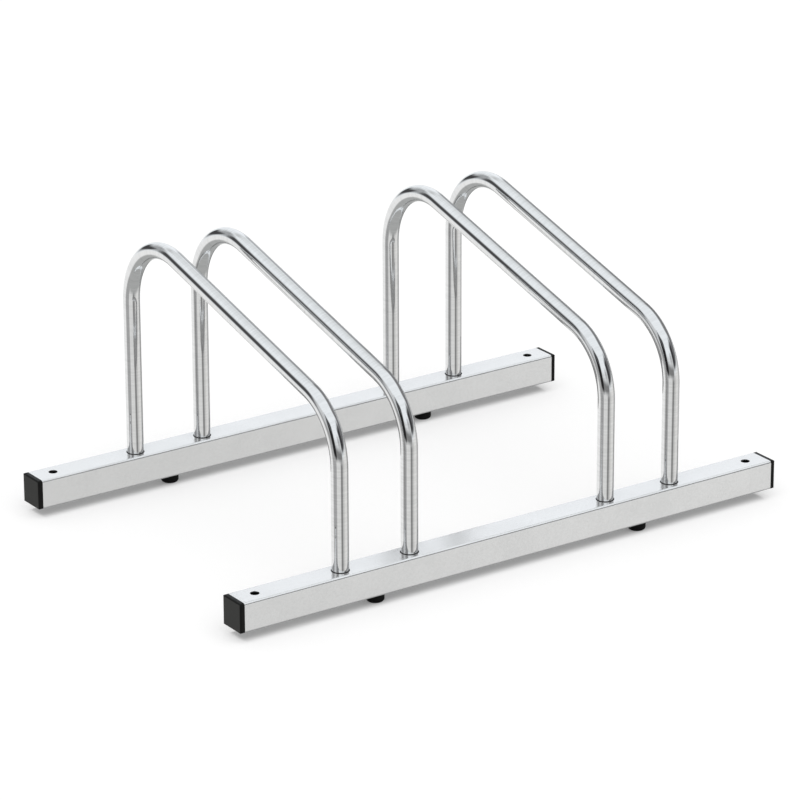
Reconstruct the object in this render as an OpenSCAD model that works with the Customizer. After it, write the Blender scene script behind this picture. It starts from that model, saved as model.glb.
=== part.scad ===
// Hoop bike rack: two square rails on four feet, joined by four bent tube hoops in two pairs.
// Millimetres. X runs along the rails, Y from the low front rail to the tall rear rail, Z up.
// The origin is on the floor, in the middle of the rack.

/* [Rails] */
// Length of each rail's metal, without its end caps
rail_length = 615; // [480:5:1200]
// Outer side of the square rail tube
rail_side = 30; // [25:0.5:60]
// Wall of the rail tube
rail_wall = 1.5; // [1:0.1:3]
// Radius inside the rail tube's long corners
rail_inner_corner = 1; // [0.5:0.1:3]
// Distance between the two rails, centre to centre
rail_spacing = 366; // [260:1:700]

/* [Hoops] */
// Outer diameter of the hoop tube
hoop_d = 16.5; // [12:0.5:22]
// Wall of the hoop tube
hoop_wall = 1.5; // [1:0.1:3]
// Height of the hoops' highest point above the underside of the rails
hoop_height = 265.5; // [220:0.5:500]
// Fall of each hoop's straight top run towards the front rail, in degrees
hoop_slope = 14.75; // [0:0.25:30]
// Centreline radius of the tall bend above the rear rail
rear_bend = 68; // [40:1:110]
// Centreline radius of the low bend above the front rail
front_bend = 64; // [40:1:110]
// Clear gap for a tyre between the two hoops of a pair
tyre_slot = 61.5; // [35:0.5:120]
// Distance between the centres of the two pairs
pair_spacing = 307; // [200:1:440]
// Gap all round a hoop leg where it enters the rail
hoop_hole_gap = 0.75; // [0.25:0.05:1]

/* [Hoop fixings] */
// Length of the threaded plug in each end of a hoop
plug_length = 20; // [10:1:40]
// Thread diameter of the screw under each hoop leg
screw_d = 6; // [4:1:8]
// Length of the screw under its head
screw_length = 18; // [12:1:30]
// Diameter of the screw head's flange
screw_flange_d = 12; // [11:0.5:14]
// Thickness of the screw head's flange
screw_flange_h = 0.9; // [0.5:0.1:1.5]
// Height of the whole screw head
screw_head_h = 3.2; // [2.5:0.1:4]
// Width across the flats of the screw's hexagon socket
screw_socket_af = 4; // [2.5:0.5:5]
// Depth of the screw's hexagon socket
screw_socket_depth = 2; // [1:0.1:2.4]
// Gap all round the screw in the rail
screw_hole_gap = 0.25; // [0.1:0.05:0.5]

/* [Anchor holes] */
// Diameter of the holes that bolt the rack to the ground
anchor_hole_d = 9; // [5:0.5:14]
// Distance of each anchor hole's centre from the end of the rail's metal
anchor_inset = 20.5; // [18:0.5:60]

/* [End caps] */
// Thickness of an end cap outside the rail
cap_thickness = 5; // [3:0.5:10]
// Radius of the rounded edge round an end cap's outer face
cap_edge = 1.8; // [0.5:0.1:2.5]
// Wall of the hollow plug that holds an end cap
cap_plug_wall = 2; // [1.5:0.1:3]
// Number of gripping ribs round each cap's plug
cap_rib_count = 3; // [2:1:5]
// Thickness of one gripping rib
cap_rib_thickness = 1; // [0.6:0.1:1.5]
// Height of a gripping rib above the plug
cap_rib_height = 1.4; // [0.8:0.1:2]

/* [Feet] */
// Diameter of a foot
foot_d = 17.6; // [14:0.2:24]
// Height of a foot under the rail
foot_height = 10.4; // [7:0.1:25]
// Radius of the rounded lower edge of a foot
foot_edge = 3.2; // [1:0.1:5]
// Diameter of the stem that a foot is pushed in by
foot_stem_d = 7.6; // [5:0.1:10]
// Height of the barb that locks a foot's stem inside the rail
foot_barb_h = 4; // [2:0.5:8]
// Overhang of that barb beyond the stem, all round
foot_barb_lip = 1.2; // [0.5:0.1:2]

/* [Hidden] */
$fn = 96;

// Colours
zinc_bright = [0.84, 0.85, 0.85];
zinc_dull = [0.66, 0.67, 0.68];
plastic_black = [0.12, 0.12, 0.12];
rubber_black = [0.07, 0.07, 0.07];

// Clearance between two pieces that slide into each other when the rack is put together
fit_gap = 0.1;
// How far a cut runs past the face that it opens
overrun = 1;
// Metal left between an end cap's plug and the anchor hole
anchor_margin = 2;
// Growth of each face of the hoop tube's wall where the tube is bent
bend_growth = 0.05;
// Length of straight tube that reaches into the thicker wall of a bend
bend_overlap = 0.3;

// Heights above the floor
rail_bottom = foot_height;
rail_middle = rail_bottom + rail_side / 2;
rail_top = rail_bottom + rail_side;
seat = rail_bottom + rail_wall;

// Places along and across the rack
front = -rail_spacing / 2;
rear = rail_spacing / 2;
left = -1;
right = 1;
pair_x = pair_spacing / 2;
hoop_pitch = tyre_slot + hoop_d;
hoop_x = [for (pair = [left, right], side = [left, right]) pair * pair_x + side * hoop_pitch / 2];
anchor_x = rail_length / 2 - anchor_inset;

// Rail section
rail_outer_corner = rail_inner_corner + rail_wall;
rail_inside = rail_side - 2 * rail_wall;

// Hoop centreline: each bend's centre, and the straight run between the bends
rear_bend_y = rear - rear_bend;
rear_bend_z = rail_bottom + hoop_height - hoop_d / 2 - rear_bend;
front_bend_y = front + front_bend;
run_rise = (rear_bend - front_bend) / cos(hoop_slope)
    - (rear_bend_y - front_bend_y) * tan(hoop_slope);
front_bend_z = rear_bend_z + run_rise;
run_start_y = front_bend_y - front_bend * sin(hoop_slope);
run_start_z = front_bend_z + front_bend * cos(hoop_slope);
run_end_y = rear_bend_y - rear_bend * sin(hoop_slope);
run_length = (run_end_y - run_start_y) / cos(hoop_slope);
hoop_bore = hoop_d - 2 * hoop_wall;
hoop_hole_d = hoop_d + 2 * hoop_hole_gap;

// Fixings
screw_hole_d = screw_d + 2 * screw_hole_gap;
screw_crown_d = screw_flange_d - screw_head_h;
screw_crown_top_d = screw_crown_d - screw_head_h;
stem_hole_d = foot_stem_d + 2 * fit_gap;

// End cap plug
cap_plug_length = anchor_inset - anchor_hole_d / 2 - anchor_margin;
cap_rib_side = rail_inside - 2 * fit_gap;
cap_core_side = cap_rib_side - 2 * cap_rib_height;
cap_hollow_side = cap_core_side - 2 * cap_plug_wall;
cap_rib_pitch = cap_plug_length / (cap_rib_count + 1);

// Square with round corners, centred
module rounded_square(side, corner) {
    flat = side - 2 * corner;
    square([side, flat], center = true);
    square([flat, side], center = true);
    for (u = [-1, 1])
        for (v = [-1, 1])
            translate([u * flat / 2, v * flat / 2])
                circle(r = corner);
}

// Extrudes a section along X, from x = 0
module along_x(length) {
    rotate([90, 0, 90])
        linear_extrude(length)
            children();
}

// Upright hole through one wall or through the whole rail, from the height low to the height high
module rail_hole(x, low, high, d) {
    translate([x, 0, low - overrun])
        cylinder(h = high - low + 2 * overrun, d = d);
}

module rail(y) {
    color(zinc_bright)
        translate([0, y, 0])
            difference() {
                translate([-rail_length / 2, 0, rail_middle])
                    along_x(rail_length)
                        rounded_square(rail_side, rail_outer_corner);
                translate([-rail_length / 2 - overrun, 0, rail_middle])
                    along_x(rail_length + 2 * overrun)
                        rounded_square(rail_inside, rail_inner_corner);
                for (x = hoop_x) {
                    rail_hole(x, rail_middle, rail_top, hoop_hole_d);
                    rail_hole(x, rail_bottom, seat, screw_hole_d);
                }
                for (side = [left, right]) {
                    rail_hole(side * anchor_x, rail_bottom, rail_top, anchor_hole_d);
                    rail_hole(side * pair_x, rail_bottom, seat, stem_hole_d);
                }
            }
}

// Cross section of the hoop tube, with growth added to both faces of its wall
module tube_section(growth) {
    difference() {
        circle(d = hoop_d + 2 * growth);
        circle(d = hoop_bore - 2 * growth);
    }
}

// Straight tube along Z from z = 0
module tube_run(length) {
    linear_extrude(length)
        tube_section(0);
}

// Bent tube round the X axis, swept from the +Y side towards +Z
module tube_bend(radius, angle) {
    rotate([90, 0, 90])
        rotate_extrude(angle = angle)
            translate([radius, 0])
                tube_section(bend_growth);
}

module hoop(x) {
    color(zinc_bright)
        translate([x, 0, 0]) {
            translate([0, rear, seat])
                tube_run(rear_bend_z - seat + bend_overlap);
            translate([0, rear_bend_y, rear_bend_z])
                tube_bend(rear_bend, 90 + hoop_slope);
            translate([0, run_start_y, run_start_z])
                rotate([hoop_slope - 90, 0, 0])
                    translate([0, 0, -bend_overlap])
                        tube_run(run_length + 2 * bend_overlap);
            translate([0, front_bend_y, front_bend_z])
                rotate([90 + hoop_slope, 0, 0])
                    tube_bend(front_bend, 90 - hoop_slope);
            translate([0, front, seat])
                tube_run(front_bend_z - seat + bend_overlap);
        }
}

// Side view of a cap's flange: a slab whose two outer corners are rounded
module cap_profile() {
    translate([0, -rail_side / 2])
        square([cap_thickness - cap_edge, rail_side]);
    translate([0, cap_edge - rail_side / 2])
        square([cap_thickness, rail_side - 2 * cap_edge]);
    for (v = [-1, 1])
        translate([cap_thickness - cap_edge, v * (rail_side / 2 - cap_edge)])
            circle(r = cap_edge);
}

module cap_flange() {
    intersection() {
        along_x(cap_thickness)
            rounded_square(rail_side, rail_outer_corner);
        linear_extrude(rail_side, center = true)
            cap_profile();
        rotate([90, 0, 0])
            linear_extrude(rail_side, center = true)
                cap_profile();
    }
}

module cap_plug() {
    difference() {
        translate([-cap_plug_length, 0, 0]) {
            along_x(cap_plug_length)
                square(cap_core_side, center = true);
            for (i = [1:cap_rib_count])
                translate([i * cap_rib_pitch - cap_rib_thickness / 2, 0, 0])
                    along_x(cap_rib_thickness)
                        rounded_square(cap_rib_side, rail_inner_corner);
        }
        translate([-cap_plug_length - overrun, 0, 0])
            along_x(cap_plug_length + overrun)
                square(cap_hollow_side, center = true);
    }
}

module cap(side, y) {
    color(plastic_black)
        translate([side * rail_length / 2, y, rail_middle])
            rotate([0, 0, 90 - side * 90]) {
                cap_flange();
                cap_plug();
            }
}

module foot(side, y) {
    foot_r = foot_d / 2;
    color(rubber_black)
        translate([side * pair_x, y, 0]) {
            rotate_extrude() {
                square([foot_r - foot_edge, foot_height]);
                translate([0, foot_edge])
                    square([foot_r, foot_height - foot_edge]);
                translate([foot_r - foot_edge, foot_edge])
                    intersection() {
                        circle(r = foot_edge);
                        translate([0, -foot_edge])
                            square([foot_edge, foot_edge]);
                    }
            }
            translate([0, 0, foot_height])
                cylinder(h = rail_wall, d = foot_stem_d);
            translate([0, 0, seat])
                cylinder(h = foot_barb_h, d1 = foot_stem_d + 2 * foot_barb_lip, d2 = foot_stem_d - foot_barb_lip);
        }
}

module plug(x, y) {
    color(zinc_dull)
        translate([x, y, seat])
            difference() {
                cylinder(h = plug_length, d = hoop_bore - 2 * fit_gap);
                translate([0, 0, -overrun])
                    cylinder(h = plug_length + 2 * overrun, d = screw_d + 2 * fit_gap);
            }
}

module screw(x, y) {
    color(zinc_dull)
        translate([x, y, rail_bottom])
            difference() {
                union() {
                    cylinder(h = screw_length, d = screw_d);
                    translate([0, 0, -screw_flange_h])
                        cylinder(h = screw_flange_h, d = screw_flange_d);
                    translate([0, 0, -screw_head_h])
                        cylinder(h = screw_head_h - screw_flange_h, d1 = screw_crown_top_d, d2 = screw_crown_d);
                }
                translate([0, 0, -screw_head_h - overrun])
                    cylinder(h = screw_socket_depth + overrun, d = screw_socket_af / cos(30), $fn = 6);
            }
}

rail(front);  // rail_front
rail(rear);  // rail_rear
hoop(hoop_x[0]);  // hoop_1
hoop(hoop_x[1]);  // hoop_2
hoop(hoop_x[2]);  // hoop_3
hoop(hoop_x[3]);  // hoop_4
cap(left, front);  // cap_front_left
cap(right, front);  // cap_front_right
cap(left, rear);  // cap_rear_left
cap(right, rear);  // cap_rear_right
foot(left, front);  // foot_front_left
foot(right, front);  // foot_front_right
foot(left, rear);  // foot_rear_left
foot(right, rear);  // foot_rear_right
plug(hoop_x[0], front);  // plug_1_front
plug(hoop_x[1], front);  // plug_2_front
plug(hoop_x[2], front);  // plug_3_front
plug(hoop_x[3], front);  // plug_4_front
plug(hoop_x[0], rear);  // plug_1_rear
plug(hoop_x[1], rear);  // plug_2_rear
plug(hoop_x[2], rear);  // plug_3_rear
plug(hoop_x[3], rear);  // plug_4_rear
screw(hoop_x[0], front);  // screw_1_front
screw(hoop_x[1], front);  // screw_2_front
screw(hoop_x[2], front);  // screw_3_front
screw(hoop_x[3], front);  // screw_4_front
screw(hoop_x[0], rear);  // screw_1_rear
screw(hoop_x[1], rear);  // screw_2_rear
screw(hoop_x[2], rear);  // screw_3_rear
screw(hoop_x[3], rear);  // screw_4_rear
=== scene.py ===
"""Looks for the hoop bike rack: camera, studio, finishes and smooth hoops. Metres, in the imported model's frame."""
import math

import bpy
import numpy as np
from mathutils import Matrix, Vector

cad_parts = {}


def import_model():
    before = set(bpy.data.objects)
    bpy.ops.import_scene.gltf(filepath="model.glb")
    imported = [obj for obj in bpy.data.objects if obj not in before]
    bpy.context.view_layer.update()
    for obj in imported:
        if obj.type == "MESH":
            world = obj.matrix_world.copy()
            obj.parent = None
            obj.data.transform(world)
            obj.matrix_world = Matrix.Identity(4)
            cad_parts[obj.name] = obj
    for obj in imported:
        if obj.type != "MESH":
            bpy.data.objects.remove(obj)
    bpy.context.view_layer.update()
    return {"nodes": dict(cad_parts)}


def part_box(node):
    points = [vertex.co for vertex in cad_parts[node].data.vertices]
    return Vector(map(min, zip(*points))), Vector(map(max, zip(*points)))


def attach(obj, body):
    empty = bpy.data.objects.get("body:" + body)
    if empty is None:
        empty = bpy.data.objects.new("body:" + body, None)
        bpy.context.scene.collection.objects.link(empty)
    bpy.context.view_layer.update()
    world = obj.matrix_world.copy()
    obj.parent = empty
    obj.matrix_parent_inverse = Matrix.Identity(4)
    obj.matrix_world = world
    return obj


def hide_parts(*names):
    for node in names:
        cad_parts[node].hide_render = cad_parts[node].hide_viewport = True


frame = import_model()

# Camera: where it looks, and how it stands, in metres and degrees
CAMERA_TARGET = Vector((0.00028, -0.00019, 0.11027))
CAMERA_AZIMUTH = -34.33
CAMERA_ELEVATION = 20.9
CAMERA_ROLL = -0.22
CAMERA_DISTANCE = 4.445
CAMERA_LENS_MM = 204.65
CAMERA_SENSOR_MM = 36.0
CAMERA_CLIP_FACTOR = 100

# Hoop tube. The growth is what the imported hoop's bends stand out past its straight lengths.
TUBE_RADIUS = 0.00825
TUBE_WALL = 0.0015
TALL_BEND = 0.068
LOW_BEND = 0.064
SLOPE = math.radians(14.75)
BEND_GROWTH = 0.00005
PATH_STEP = 0.0015
RING_POINTS = 72

# Rail section: half its width, its corner radius, and the depths between which its skin turns to its inside, which
# takes painted shade
RAIL_HALF = 0.015
RAIL_CORNER = 0.0025
INSIDE_FROM = -0.00006
INSIDE_TO = -0.00002

# Painted shade: the dark line round a leg where it enters its hole, by height above the rail. The rounded edge of a
# cap's face, where the cap's painted light ends, by depth below it
LEG_LINE_FROM = 0.00035
LEG_LINE_TO = 0.00105
CAP_EDGE_FROM = 0.00004
CAP_EDGE_TO = 0.0002

# Finishes. Colours are linear. A pair is a light and a dark tone, or the roughness of the dark and of the light tone.
TUBE_LIGHT = (0.89, 0.895, 0.90, 1.0)
TUBE_DARK = (0.805, 0.81, 0.815, 1.0)
RAIL_LIGHT = (0.89, 0.895, 0.90, 1.0)
RAIL_DARK = (0.83, 0.835, 0.84, 1.0)
RAIL_METALLIC = 0.78
# Painted shade on the inside of the rails and the walls of their holes
INSIDE_PAINTED_SHADE = (0.05, 0.05, 0.05, 1.0)
INSIDE_ROUGHNESS = 0.75
# Painted shade: a leg's foot darkened where it enters its hole
LEG_PAINTED_SHADE = (0.03, 0.03, 0.031, 1.0)
LEG_SHADE_ROUGHNESS = 0.5
FIXING_LIGHT = (0.66, 0.67, 0.68, 1.0)
FIXING_DARK = (0.50, 0.51, 0.52, 1.0)
CAP_LIGHT = (0.007, 0.007, 0.0068, 1.0)
CAP_DARK = (0.004, 0.004, 0.0039, 1.0)
# Painted light: the caps' flat end faces, lighter than their black rounded edges and sides
CAP_FACE_PAINTED_LIGHT = (0.045, 0.045, 0.043, 1.0)
CAP_FACE_ROUGHNESS = 0.65
FOOT_LIGHT = (0.006, 0.006, 0.006, 1.0)
FOOT_DARK = (0.003, 0.003, 0.003, 1.0)
BLACK_SPECULAR = 0.15
TUBE_ROUGHNESS = (0.07, 0.04)
RAIL_ROUGHNESS = (0.24, 0.19)
FIXING_ROUGHNESS = (0.42, 0.30)
CAP_ROUGHNESS = (0.50, 0.40)
FOOT_ROUGHNESS = (0.70, 0.55)
RINGS_SPREAD = (0.32, 0.68)
GRAIN_SPREAD = (0.3, 0.7)
TUBE_RELIEF = 0.000007
RAIL_RELIEF = 0.000003
FIXING_RELIEF = 0.00002
CAP_RELIEF = 0.00003
FOOT_RELIEF = 0.00004

# Studio: what the metal mirrors, by direction. Azimuth 0 is in front of the rack, 90 to its right.
# A later card lies over an earlier one.
# Each card: name, azimuth from and to, elevation from and to, softness of its edges (all degrees), colour
SKY = (0.90, 0.935, 0.96, 1.0)
CARDS = (
    ("floor all round", -180, 180, -95, -6, 6, (0.90, 0.90, 0.895, 1.0)),
    ("ceiling behind", 122, 200, 42, 60, 8, (0.76, 0.785, 0.80, 1.0)),
    ("ceiling behind, dark", 163, 197, 45, 56, 8, (0.62, 0.635, 0.645, 1.0)),
    ("low front", -60, 20, 4, 19, 6, (0.72, 0.735, 0.74, 1.0)),
    ("stand in front", -14, 10, 12, 27, 6, (0.48, 0.485, 0.49, 1.0)),
    ("window behind right", 134, 152, 7, 38, 7, (0.97, 1.00, 1.035, 1.0)),
    ("haze behind left", -184, -122, 10, 34, 8, (0.62, 0.64, 0.655, 1.0)),
    ("haze behind left, dark", -170, -149, 14, 38, 7, (0.38, 0.39, 0.40, 1.0)),
    ("band behind left", -188, -150, -2, 15, 5, (0.06, 0.06, 0.062, 1.0)),
    ("wall left high", -114, -86, 12, 32, 6, (0.62, 0.63, 0.64, 1.0)),
    ("corner behind left", -147, -114, -2, 29, 7, (0.07, 0.07, 0.072, 1.0)),
    ("wall left", -119, -85, -12, 10, 8, (0.35, 0.35, 0.35, 1.0)),
    ("horizon front", -62, 14, -9, 8, 6, (0.22, 0.22, 0.22, 1.0)),
    ("corner right", 18, 60, 2, 36, 6, (0.05, 0.05, 0.052, 1.0)),
    ("wall right", 54, 133, 0, 28, 6, (0.17, 0.17, 0.175, 1.0)),
    ("wall right high", 72, 131, 22, 44, 7, (0.23, 0.23, 0.235, 1.0)),
    ("floor left", -118, -66, -60, -8, 8, (0.40, 0.40, 0.40, 1.0)),
    ("floor front left", -62, -16, -60, -11, 7, (0.74, 0.74, 0.73, 1.0)),
    ("floor front middle", 12, 38, -60, -4, 8, (0.62, 0.617, 0.605, 1.0)),
    ("floor front right", 36, 80, -60, -2, 9, (0.78, 0.775, 0.76, 1.0)),
    ("floor right", 80, 124, -60, -3, 8, (0.54, 0.54, 0.535, 1.0)),
    ("floor behind right", 116, 144, -60, -5, 6, (0.14, 0.14, 0.14, 1.0)),
    ("floor front flag", -16, 12, -60, -9, 7, (0.25, 0.25, 0.247, 1.0)),
    ("flag left", -87, -54, -10, 24, 4, (0.02, 0.02, 0.02, 1.0)),
    ("flag left high", -83, -52, 22, 36, 5, (0.05, 0.05, 0.052, 1.0)),
    ("floor near", -180, 180, -95, -36, 6, (0.42, 0.425, 0.42, 1.0)),
)
# The painted shade of the floor where metal mirrors metal that mirrors it, darker as if in the rack's own shade, how
# soft its horizon is in degrees, and the count of mirrored bounces that it lies past
FLOOR_SHADE_MIRRORED_TWICE = (0.30, 0.30, 0.295, 1.0)
TWICE_HORIZON = 4.0
PAST_ONE_MIRROR = 1.5

# Light: its colour, the level of the sky and of the lamp, each as a share of white on the floor, how the lamp stands,
# and the count of scattered bounces before which metal mirrors the studio
PURE_WHITE = (1.0, 1.0, 1.0, 1.0)
BEFORE_SCATTER = 0.5
SKY_LIGHT = 0.60
LAMP_LIGHT = 0.40
LAMP_TILT = math.radians(35)
LAMP_AZIMUTH = math.radians(-27.5)
LAMP_ANGLE = math.radians(80)
LAMP_DISTANCE = 2.0

# Floor: its own colour, and how much the camera sees it lifted to be as white as the background
FLOOR_HALF_SIZE = 6.0
FLOOR_WHITE = (0.62, 0.62, 0.62, 1.0)
FLOOR_LIFT = 0.43

# Painted shadow in the gap under a rail: how much of the lift it loses, the distances behind the rail's front edge
# between which it is lost, how soft the painted shadow is at the rail's back edge, and how far it falls off before the
# rail's end
GAP_PAINTED_SHADOW = 0.28
GAP_FROM = -0.002
GAP_TO = 0.0150
GAP_SOFT = 0.001
GAP_END = 0.006

# The strip of dark floor that a rail's lower edge mirrors: half its width, its height above the floor and its tone
SHADE_HALF_WIDTH = 0.016
SHADE_LIFT = 0.0005
SHADE_TONE = 0.25


# Nodes


def add(tree, kind, inputs=None, **settings):
    """Adds a node, sets its properties, and fills the given inputs with values or with other nodes' outputs."""
    node = tree.nodes.new(kind)
    for key, value in settings.items():
        setattr(node, key, value)
    for key, value in (inputs or {}).items():
        if isinstance(value, bpy.types.NodeSocket):
            tree.links.new(value, node.inputs[key])
        else:
            node.inputs[key].default_value = value
    return node


def split(tree, vector):
    """The X, Y and Z outputs of a vector."""
    return add(tree, "ShaderNodeSeparateXYZ", {"Vector": vector}).outputs


def object_place(tree):
    """The X, Y and Z outputs of the Object coordinates."""
    return split(tree, add(tree, "ShaderNodeTexCoord").outputs["Object"])


def math_node(tree, operation, *values):
    """The result of one Math node."""
    return add(tree, "ShaderNodeMath", dict(enumerate(values)), operation=operation).outputs[0]


def new_group(name, inputs, outputs):
    """An empty shader node group with float inputs and outputs, and its two end nodes."""
    tree = bpy.data.node_groups.new(name, "ShaderNodeTree")
    for socket_name, default in inputs.items():
        socket = tree.interface.new_socket(socket_name, in_out="INPUT", socket_type="NodeSocketFloat")
        socket.default_value = default
    for socket_name in outputs:
        tree.interface.new_socket(socket_name, in_out="OUTPUT", socket_type="NodeSocketFloat")
    return tree, tree.nodes.new("NodeGroupInput").outputs, tree.nodes.new("NodeGroupOutput").inputs


def place_group(tree, group, values):
    """Places a node group in a tree with its own values, and returns its outputs."""
    return add(tree, "ShaderNodeGroup", values, node_tree=group).outputs


def noise(tree, vector, scale, detail, roughness):
    """The value of a 3D noise at a vector, from 0 to 1."""
    values = {"Vector": vector, "Scale": scale, "Detail": detail, "Roughness": roughness}
    return add(tree, "ShaderNodeTexNoise", values, noise_dimensions="3D").outputs["Fac"]


def spread(tree, value, low, high, to_low=0.0, to_high=1.0):
    """Maps a value from low..high to to_low..to_high with soft ends."""
    values = {"Value": value, "From Min": low, "From Max": high, "To Min": to_low, "To Max": to_high}
    return add(tree, "ShaderNodeMapRange", values, interpolation_type="SMOOTHSTEP").outputs["Result"]


def shared(tree, first, second, share):
    """The mean of two values, with the second one's share of it."""
    rest = math_node(tree, "SUBTRACT", 1.0, share)
    return math_node(tree, "ADD", math_node(tree, "MULTIPLY", first, rest), math_node(tree, "MULTIPLY", second, share))


def blend_colours(tree, fac, dark, light):
    """A colour between dark and light. A Mix node's inputs 6 and 7 and its output 2 are its colours."""
    return add(tree, "ShaderNodeMix", {0: fac, 6: dark, 7: light}, data_type="RGBA").outputs[2]


# Node groups: the marks and grain of the finishes, the places where a finish changes, and the studio's cards


def polishing_rings():
    """Fine marks that run round a tube, from the piece's own UV map: U once round, V metres along.

    The angle goes round a circle, so the marks close on themselves. The circle is small beside the length,
    so the noise is drawn out round the tube and quick along it.
    """
    sizes = {"Marks per Metre": 700.0, "Round Scale": 90.0, "Broad Scale": 0.22, "Broad Share": 0.3}
    tree, given, out = new_group("Polishing rings", sizes, ("Tone", "Height"))
    parts = split(tree, add(tree, "ShaderNodeUVMap", None, uv_map="along").outputs["UV"])
    angle = math_node(tree, "MULTIPLY", parts["X"], 2 * math.pi)
    reach = math_node(tree, "MULTIPLY", given["Round Scale"], TUBE_RADIUS)
    x = math_node(tree, "MULTIPLY", math_node(tree, "COSINE", angle), reach)
    y = math_node(tree, "MULTIPLY", math_node(tree, "SINE", angle), reach)
    z = math_node(tree, "MULTIPLY", parts["Y"], given["Marks per Metre"])
    vector = add(tree, "ShaderNodeCombineXYZ", {"X": x, "Y": y, "Z": z}).outputs[0]
    fine = noise(tree, vector, 1.0, detail=3.0, roughness=0.6)
    broad = noise(tree, vector, given["Broad Scale"], detail=1.0, roughness=0.5)
    mixed = shared(tree, fine, broad, given["Broad Share"])
    tree.links.new(spread(tree, mixed, *RINGS_SPREAD), out["Tone"])
    tree.links.new(mixed, out["Height"])
    return tree


def fine_grain():
    """Small even grain over a larger, faint cloudiness, on Object coordinates."""
    sizes = {"Grain Scale": 1500.0, "Cloud Scale": 30.0, "Cloud Share": 0.3}
    tree, given, out = new_group("Fine grain", sizes, ("Tone", "Height"))
    place = add(tree, "ShaderNodeTexCoord").outputs["Object"]
    grain = noise(tree, place, given["Grain Scale"], detail=2.0, roughness=0.6)
    cloud = noise(tree, place, given["Cloud Scale"], detail=2.0, roughness=0.5)
    mixed = shared(tree, grain, cloud, given["Cloud Share"])
    tree.links.new(spread(tree, mixed, *GRAIN_SPREAD), out["Tone"])
    tree.links.new(grain, out["Height"])
    return tree


# Mask for the painted shade inside the rails and on the walls of their holes
def rail_inside_shade_mask():
    """1 inside the rails and on the walls of their holes, 0 on their outer skin, on Object coordinates.

    The distance from a point to a rail's skin is that to a square with round corners, folded about both centre lines:
    the length of what sticks out past the inner square, plus what stays inside it, less the corner radius.
    """
    tree, given, out = new_group("Rail inside", {"Rail Side": 0.183, "Rail Height": 0.0254}, ("Mask",))
    parts = object_place(tree)
    from_middle = math_node(tree, "ABSOLUTE", parts["Y"])
    across = math_node(tree, "ABSOLUTE", math_node(tree, "SUBTRACT", from_middle, given["Rail Side"]))
    upward = math_node(tree, "ABSOLUTE", math_node(tree, "SUBTRACT", parts["Z"], given["Rail Height"]))
    inner = RAIL_HALF - RAIL_CORNER
    past = [math_node(tree, "SUBTRACT", value, inner) for value in (across, upward)]
    squares = [math_node(tree, "POWER", math_node(tree, "MAXIMUM", value, 0.0), 2.0) for value in past]
    outside = math_node(tree, "SQRT", math_node(tree, "ADD", *squares))
    within = math_node(tree, "MINIMUM", math_node(tree, "MAXIMUM", *past), 0.0)
    depth = math_node(tree, "SUBTRACT", math_node(tree, "ADD", outside, within), RAIL_CORNER)
    tree.links.new(spread(tree, depth, INSIDE_FROM, INSIDE_TO, 1.0, 0.0), out["Mask"])
    return tree


# Mask for the painted shade on a leg's foot where it enters its hole
def foot_shade_mask():
    """1 on a hoop leg's foot, down in its hole, and softly 0 just above the rail's top, on Object coordinates."""
    tree, given, out = new_group("Leg foot", {"Rail Top": 0.0404}, ("Mask",))
    height = math_node(tree, "SUBTRACT", object_place(tree)["Z"], given["Rail Top"])
    tree.links.new(spread(tree, height, LEG_LINE_FROM, LEG_LINE_TO, 1.0, 0.0), out["Mask"])
    return tree


# Mask for the painted light on the caps' flat end faces
def cap_face_light_mask():
    """1 on the flat outer faces of the end caps, softly 0 at the rounded edges round them, on Object coordinates."""
    tree, given, out = new_group("Cap face", {"Rack End": 0.3125}, ("Mask",))
    along = math_node(tree, "ABSOLUTE", object_place(tree)["X"])
    depth = math_node(tree, "SUBTRACT", given["Rack End"], along)
    tree.links.new(spread(tree, depth, CAP_EDGE_FROM, CAP_EDGE_TO, 1.0, 0.0), out["Mask"])
    return tree


def studio_card():
    """How much of one studio card a direction meets: 1 inside its azimuth and elevation, softly 0 outside."""
    names = {"Azimuth": 0.0, "Elevation": 0.0, "Azimuth Middle": 0.0, "Azimuth Half": 10.0,
             "Elevation Middle": 0.0, "Elevation Half": 10.0, "Softness": 5.0}
    tree, given, out = new_group("Studio card", names, ("Mask",))
    turn = math_node(tree, "SUBTRACT", given["Azimuth"], given["Azimuth Middle"])
    wrapped = math_node(tree, "WRAP", turn, 180.0, -180.0)
    rise = math_node(tree, "SUBTRACT", given["Elevation"], given["Elevation Middle"])
    masks = []
    for offset, half in ((wrapped, given["Azimuth Half"]), (rise, given["Elevation Half"])):
        outside = math_node(tree, "SUBTRACT", math_node(tree, "ABSOLUTE", offset), half)
        share = math_node(tree, "DIVIDE", outside, given["Softness"])
        masks.append(spread(tree, share, -1.0, 1.0, 1.0, 0.0))
    tree.links.new(math_node(tree, "MULTIPLY", *masks), out["Mask"])
    return tree


# Materials


def new_material(name):
    """A material with an empty node tree, and its output node."""
    material = bpy.data.materials.new(name)
    material.use_nodes = True
    material.node_tree.nodes.clear()
    return material, material.node_tree, material.node_tree.nodes.new("ShaderNodeOutputMaterial")


def finish(name, group, values, colours, roughness, relief, over=None, **constants):
    """A material whose colour, roughness and relief follow one group's tone and height.

    Where there is an over, its group's mask lays a second colour and roughness over the first.
    """
    material, tree, output = new_material(name)
    marks = place_group(tree, group, values)
    colour = blend_colours(tree, marks["Tone"], *colours)
    rough = spread(tree, marks["Tone"], 0.0, 1.0, *roughness)
    if over:
        over_group, over_colour, over_roughness = over
        mask = place_group(tree, over_group, {})["Mask"]
        colour = blend_colours(tree, mask, colour, over_colour)
        rough = math_node(tree, "MAXIMUM", rough, math_node(tree, "MULTIPLY", mask, over_roughness))
    bump = add(tree, "ShaderNodeBump", {"Strength": 1.0, "Distance": relief, "Height": marks["Height"]})
    values = {"Base Color": colour, "Roughness": rough, "Normal": bump.outputs["Normal"], **constants}
    shader = add(tree, "ShaderNodeBsdfPrincipled", values)
    tree.links.new(shader.outputs["BSDF"], output.inputs["Surface"])
    return material


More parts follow.
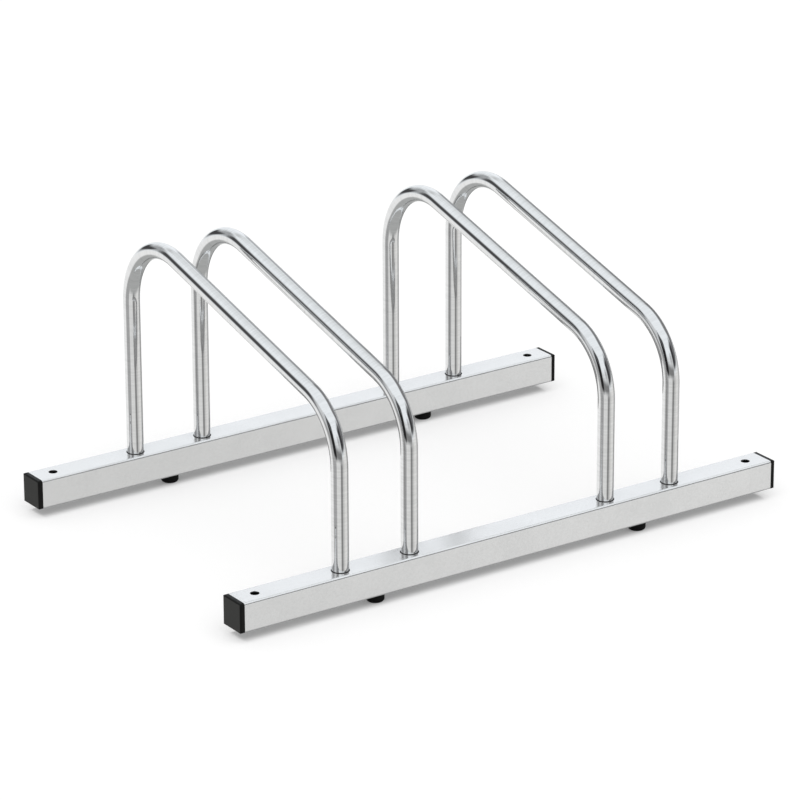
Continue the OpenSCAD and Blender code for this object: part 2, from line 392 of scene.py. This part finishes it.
def object_finishes():
    """The finish of each kind of piece, by the first word of its name."""
    rings, grain = polishing_rings(), fine_grain()
    bright = {"Metallic": 1.0}
    satin = {"Metallic": RAIL_METALLIC}
    black = {"Metallic": 0.0, "Specular IOR Level": BLACK_SPECULAR}
    # Painted shade on the legs' feet where they enter their holes
    foot_painted_shade = (foot_shade_mask(), LEG_PAINTED_SHADE, LEG_SHADE_ROUGHNESS)
    # Painted shade inside the rails and on the walls of their holes
    inside = (rail_inside_shade_mask(), INSIDE_PAINTED_SHADE, INSIDE_ROUGHNESS)
    # Painted light on the caps' flat end faces
    face = (cap_face_light_mask(), CAP_FACE_PAINTED_LIGHT, CAP_FACE_ROUGHNESS)
    tube = finish("tube zinc", rings, {"Marks per Metre": 600.0, "Round Scale": 60.0},
                  (TUBE_DARK, TUBE_LIGHT), TUBE_ROUGHNESS, TUBE_RELIEF, foot_painted_shade, **bright)
    rail = finish("rail zinc", grain, {"Grain Scale": 700.0, "Cloud Scale": 28.0, "Cloud Share": 0.35},
                  (RAIL_DARK, RAIL_LIGHT), RAIL_ROUGHNESS, RAIL_RELIEF, inside, **satin)
    fixing = finish("fixing zinc", grain, {"Grain Scale": 2600.0, "Cloud Scale": 120.0, "Cloud Share": 0.4},
                    (FIXING_DARK, FIXING_LIGHT), FIXING_ROUGHNESS, FIXING_RELIEF, **bright)
    cap = finish("cap plastic", grain, {"Grain Scale": 1800.0, "Cloud Scale": 90.0, "Cloud Share": 0.3},
                 (CAP_DARK, CAP_LIGHT), CAP_ROUGHNESS, CAP_RELIEF, face, **black)
    foot = finish("foot rubber", grain, {"Grain Scale": 2200.0, "Cloud Scale": 140.0, "Cloud Share": 0.4},
                  (FOOT_DARK, FOOT_LIGHT), FOOT_ROUGHNESS, FOOT_RELIEF, **black)
    return {"rail": rail, "hoop": tube, "cap": cap, "foot": foot, "plug": fixing, "screw": fixing}


def floor_white():
    """White floor that keeps the rack's soft shadow, lifted so that open floor is as white as the background.

    Under each rail the lift falls off from its front edge back, a painted shadow laid as if the light came from the
    front. The distance behind the front edge and the distance from the rail's end, both on Object coordinates, say how
    far.
    """
    material, tree, output = new_material("floor white")
    base = add(tree, "ShaderNodeBsdfDiffuse", {"Color": FLOOR_WHITE}).outputs["BSDF"]
    seen = add(tree, "ShaderNodeLightPath").outputs["Is Camera Ray"]
    parts = object_place(tree)
    along = math_node(tree, "ABSOLUTE", parts["X"])
    lift = FLOOR_LIFT
    for name in ("rail_front", "rail_rear"):
        low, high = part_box(name)
        depth = math_node(tree, "SUBTRACT", parts["Y"], low.y)
        width = high.y - low.y
        # Painted shadow: the floor's lift taken down under the rail
        shade = spread(tree, depth, GAP_FROM, GAP_TO, 0.0, GAP_PAINTED_SHADOW)
        before_back = spread(tree, depth, width - GAP_SOFT, width + GAP_SOFT, 1.0, 0.0)
        before_end = spread(tree, along, high.x - GAP_END, high.x, 1.0, 0.0)
        shade = math_node(tree, "MULTIPLY", shade, math_node(tree, "MULTIPLY", before_back, before_end))
        lift = math_node(tree, "SUBTRACT", lift, shade)
    glow = add(tree, "ShaderNodeEmission", {"Strength": math_node(tree, "MULTIPLY", seen, lift)}).outputs["Emission"]
    both = add(tree, "ShaderNodeAddShader", {0: base, 1: glow}).outputs["Shader"]
    tree.links.new(both, output.inputs["Surface"])
    return material


# Pieces


def mesh_piece(name, points, faces, material, smooth=True):
    """A mesh object at the origin from arrays of points and faces."""
    mesh = bpy.data.meshes.new(name)
    mesh.from_pydata(points.tolist(), [], faces.tolist())
    mesh.polygons.foreach_set("use_smooth", np.full(len(faces), smooth))
    mesh.materials.append(material)
    piece = bpy.data.objects.new(name, mesh)
    bpy.context.scene.collection.objects.link(piece)
    return piece


def hoop_path(front, rear, foot, top):
    """A hoop's centre line in the YZ plane, as points, directions and distances along it.

    It goes up the rear leg, round the tall bend, down the slope, round the low bend and down the front leg.
    Each stretch is a line or an arc, and neighbours share a tangent: the low bend's centre lies below the tall bend's
    by as much as makes the slope touch both circles.
    """
    tall = np.array((rear - TALL_BEND, top - TUBE_RADIUS - TALL_BEND))
    low_y = front + LOW_BEND
    drop = (TALL_BEND - LOW_BEND) / math.cos(SLOPE) - (tall[0] - low_y) * math.tan(SLOPE)
    low = np.array((low_y, tall[1] + drop))
    turn = math.pi / 2 + SLOPE
    outward = np.array((math.cos(turn), math.sin(turn)))
    stretches = (((rear, foot), (rear, tall[1])),
                 (tall, TALL_BEND, 0.0, turn),
                 (tall + TALL_BEND * outward, low + LOW_BEND * outward),
                 (low, LOW_BEND, turn, math.pi),
                 ((front, low[1]), (front, foot)))
    points = []
    for stretch in stretches:
        if len(stretch) == 2:
            start, end = np.array(stretch[0]), np.array(stretch[1])
            steps = np.linspace(0.0, 1.0, max(2, round(np.linalg.norm(end - start) / PATH_STEP)))[:, None]
            points.append(start + steps * (end - start))
        else:
            centre, radius, begin, end = stretch
            angle = np.linspace(begin, end, round(radius * (end - begin) / PATH_STEP))[:, None]
            points.append(centre + radius * np.hstack((np.cos(angle), np.sin(angle))))
    line = np.vstack([points[0]] + [p[1:] for p in points[1:]])
    ahead = np.gradient(line, axis=0)
    ahead /= np.linalg.norm(ahead, axis=1)[:, None]
    distance = np.concatenate(([0.0], np.cumsum(np.linalg.norm(np.diff(line, axis=0), axis=1))))
    return line, ahead, distance


def tube_surface(x, line, ahead, distance):
    """A hollow tube along a line in the YZ plane, as points, faces and UVs.

    A circle of the outer radius is carried along the line, and one of the inner radius back, joined into one closed
    skin. The UV map holds turns round and metres along.
    """
    rows = np.concatenate((np.arange(len(line)), np.arange(len(line))[::-1]))
    radius = np.repeat((TUBE_RADIUS, TUBE_RADIUS - TUBE_WALL), len(line))[:, None]
    angle = np.linspace(0.0, 2 * math.pi, RING_POINTS, endpoint=False)[None, :]
    side = np.stack((-ahead[rows, 1], ahead[rows, 0]), axis=1)
    points = np.stack((x + radius * np.cos(angle),
                       line[rows, 0, None] + radius * np.sin(angle) * side[:, 0, None],
                       line[rows, 1, None] + radius * np.sin(angle) * side[:, 1, None]), axis=2).reshape(-1, 3)
    row, column = np.meshgrid(np.arange(len(rows)), np.arange(RING_POINTS), indexing="ij")
    next_row, next_column = (row + 1) % len(rows), (column + 1) % RING_POINTS
    corners = ((row, column), (next_row, column), (next_row, next_column), (row, next_column))
    faces = np.stack([(r * RING_POINTS + c).ravel() for r, c in corners], axis=1)
    turns = np.stack([((column + step) / RING_POINTS).ravel() for step in (0, 0, 1, 1)], axis=1)
    metres = np.stack([distance[rows][r].ravel() for r, _ in corners], axis=1)
    return points, faces, np.stack((turns, metres), axis=2)


def smooth_hoop(name, material):
    """The hoop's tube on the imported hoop's own centre line, smooth through its bends."""
    low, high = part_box(name)
    front = sum(corner.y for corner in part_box("rail_front")) / 2
    rear = sum(corner.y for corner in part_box("rail_rear")) / 2
    line, ahead, distance = hoop_path(front, rear, low.z, high.z - BEND_GROWTH)
    points, faces, uv = tube_surface((low.x + high.x) / 2, line, ahead, distance)
    piece = mesh_piece(name + "_tube", points, faces, material)
    piece.data.uv_layers.new(name="along").data.foreach_set("uv", uv.astype(np.float32).ravel())
    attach(piece, "root")
    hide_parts(name)
    return piece


def dress_nodes(materials):
    """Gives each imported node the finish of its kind."""
    for name, node in frame["nodes"].items():
        for kind, material in materials.items():
            if name.startswith(kind):
                for slot in node.material_slots:
                    slot.material = material


# Studio


def floor():
    """The floor, a plain square that metal mirrors don't see."""
    half = FLOOR_HALF_SIZE
    points = np.array(((-half, -half, 0.0), (half, -half, 0.0), (half, half, 0.0), (-half, half, 0.0)))
    piece = mesh_piece("floor", points, np.array(((0, 1, 2, 3),)), floor_white(), smooth=False)
    piece.visible_glossy = False


def shade_strips():
    """The dark floor under each rail, as only the metal mirrors it: a narrow strip under the rail's whole length."""
    material, tree, output = new_material("shade under rail")
    glow = add(tree, "ShaderNodeEmission", {"Strength": SHADE_TONE}).outputs["Emission"]
    tree.links.new(glow, output.inputs["Surface"])
    for name in ("rail_front", "rail_rear"):
        low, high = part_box(name)
        middle = (low.y + high.y) / 2
        x, y = np.array((low.x, high.x, high.x, low.x)), middle + SHADE_HALF_WIDTH * np.array((-1, -1, 1, 1))
        points = np.stack((x, y, np.full(4, SHADE_LIFT)), axis=1)
        piece = mesh_piece(name + "_shade", points, np.array(((0, 1, 2, 3),)), material, smooth=False)
        piece.visible_camera = piece.visible_diffuse = piece.visible_shadow = piece.visible_transmission = False


def world():
    """White to the camera, an even light for the scene, and the studio's cards in what metal mirrors.

    The floor that metal mirrors in other metal has a darker tone of its own, painted shade for the rack's shade on
    that floor. Light that metal would throw on to the floor is left out, so the shadow keeps its depth.
    """
    made = bpy.data.worlds.new("studio")
    bpy.context.scene.world = made
    made.use_nodes = True
    tree = made.node_tree
    tree.nodes.clear()
    parts = split(tree, add(tree, "ShaderNodeTexCoord").outputs["Generated"])
    forward = math_node(tree, "MULTIPLY", parts["Y"], -1.0)
    azimuth = math_node(tree, "DEGREES", math_node(tree, "ARCTAN2", parts["X"], forward))
    elevation = math_node(tree, "DEGREES", math_node(tree, "ARCSINE", parts["Z"]))
    card = studio_card()
    mirrored = SKY
    for name, az_from, az_to, el_from, el_to, softness, colour in CARDS:
        values = {"Azimuth": azimuth, "Elevation": elevation, "Softness": softness,
                  "Azimuth Middle": (az_from + az_to) / 2, "Azimuth Half": (az_to - az_from) / 2,
                  "Elevation Middle": (el_from + el_to) / 2, "Elevation Half": (el_to - el_from) / 2}
        mask = place_group(tree, card, values)["Mask"]
        mirrored = blend_colours(tree, mask, mirrored, colour)
    path = add(tree, "ShaderNodeLightPath").outputs
    # Painted shade: the floor mirrored twice takes a darker tone
    twice = math_node(tree, "GREATER_THAN", path["Glossy Depth"], PAST_ONE_MIRROR)
    below = spread(tree, elevation, -TWICE_HORIZON, TWICE_HORIZON, 1.0, 0.0)
    mirrored = blend_colours(tree, math_node(tree, "MULTIPLY", twice, below), mirrored, FLOOR_SHADE_MIRRORED_TWICE)
    white = add(tree, "ShaderNodeBackground", {"Color": PURE_WHITE, "Strength": 1.0}).outputs[0]
    light = add(tree, "ShaderNodeBackground", {"Color": PURE_WHITE, "Strength": SKY_LIGHT}).outputs[0]
    unfilled = math_node(tree, "LESS_THAN", path["Diffuse Depth"], BEFORE_SCATTER)
    studio = add(tree, "ShaderNodeBackground", {"Color": mirrored, "Strength": unfilled}).outputs[0]
    shiny = math_node(tree, "MAXIMUM", path["Is Glossy Ray"], path["Is Transmission Ray"])
    unseen = add(tree, "ShaderNodeMixShader", {0: shiny, 1: light, 2: studio}).outputs[0]
    shown = add(tree, "ShaderNodeMixShader", {0: path["Is Camera Ray"], 1: unseen, 2: white}).outputs[0]
    output = tree.nodes.new("ShaderNodeOutputWorld")
    tree.links.new(shown, output.inputs["Surface"])


def direction(azimuth, elevation):
    """A unit vector from the rack towards an azimuth and an elevation, in radians."""
    level = math.cos(elevation)
    return Vector((math.sin(azimuth) * level, -math.cos(azimuth) * level, math.sin(elevation)))


def lamp():
    """One very broad soft lamp above the front of the rack. Its level is what it gives the floor."""
    data = bpy.data.lights.new("broad front lamp", "SUN")
    data.energy = LAMP_LIGHT * math.pi / math.cos(LAMP_TILT)
    data.angle = LAMP_ANGLE
    piece = bpy.data.objects.new("broad front lamp", data)
    toward = direction(LAMP_AZIMUTH, math.pi / 2 - LAMP_TILT)
    turned = toward.to_track_quat("Z", "Y").to_matrix().to_4x4()
    piece.matrix_world = Matrix.Translation(LAMP_DISTANCE * toward) @ turned
    piece.visible_glossy = False
    piece.visible_camera = False
    bpy.context.scene.collection.objects.link(piece)


def camera():
    """The photograph's camera."""
    azimuth, elevation, roll = (math.radians(a) for a in (CAMERA_AZIMUTH, CAMERA_ELEVATION, CAMERA_ROLL))
    back = direction(azimuth, elevation)
    level = Vector((0.0, 0.0, 1.0)).cross(back).normalized()
    rise = back.cross(level)
    right = level * math.cos(roll) + rise * math.sin(roll)
    up = rise * math.cos(roll) - level * math.sin(roll)
    data = bpy.data.cameras.new("camera")
    data.lens = CAMERA_LENS_MM
    data.sensor_width = CAMERA_SENSOR_MM
    data.clip_start = CAMERA_DISTANCE / CAMERA_CLIP_FACTOR
    data.clip_end = CAMERA_DISTANCE * CAMERA_CLIP_FACTOR
    piece = bpy.data.objects.new("camera", data)
    place = Matrix((right, up, back)).transposed().to_4x4()
    place.translation = CAMERA_TARGET + back * CAMERA_DISTANCE
    piece.matrix_world = place
    bpy.context.scene.collection.objects.link(piece)
    bpy.context.scene.camera = piece


bpy.context.scene.view_settings.view_transform = "Standard"
camera()
world()
lamp()
floor()
shade_strips()

finishes = object_finishes()
dress_nodes(finishes)
for hoop in (name for name in frame["nodes"] if name.startswith("hoop")):
    smooth_hoop(hoop, finishes["hoop"])
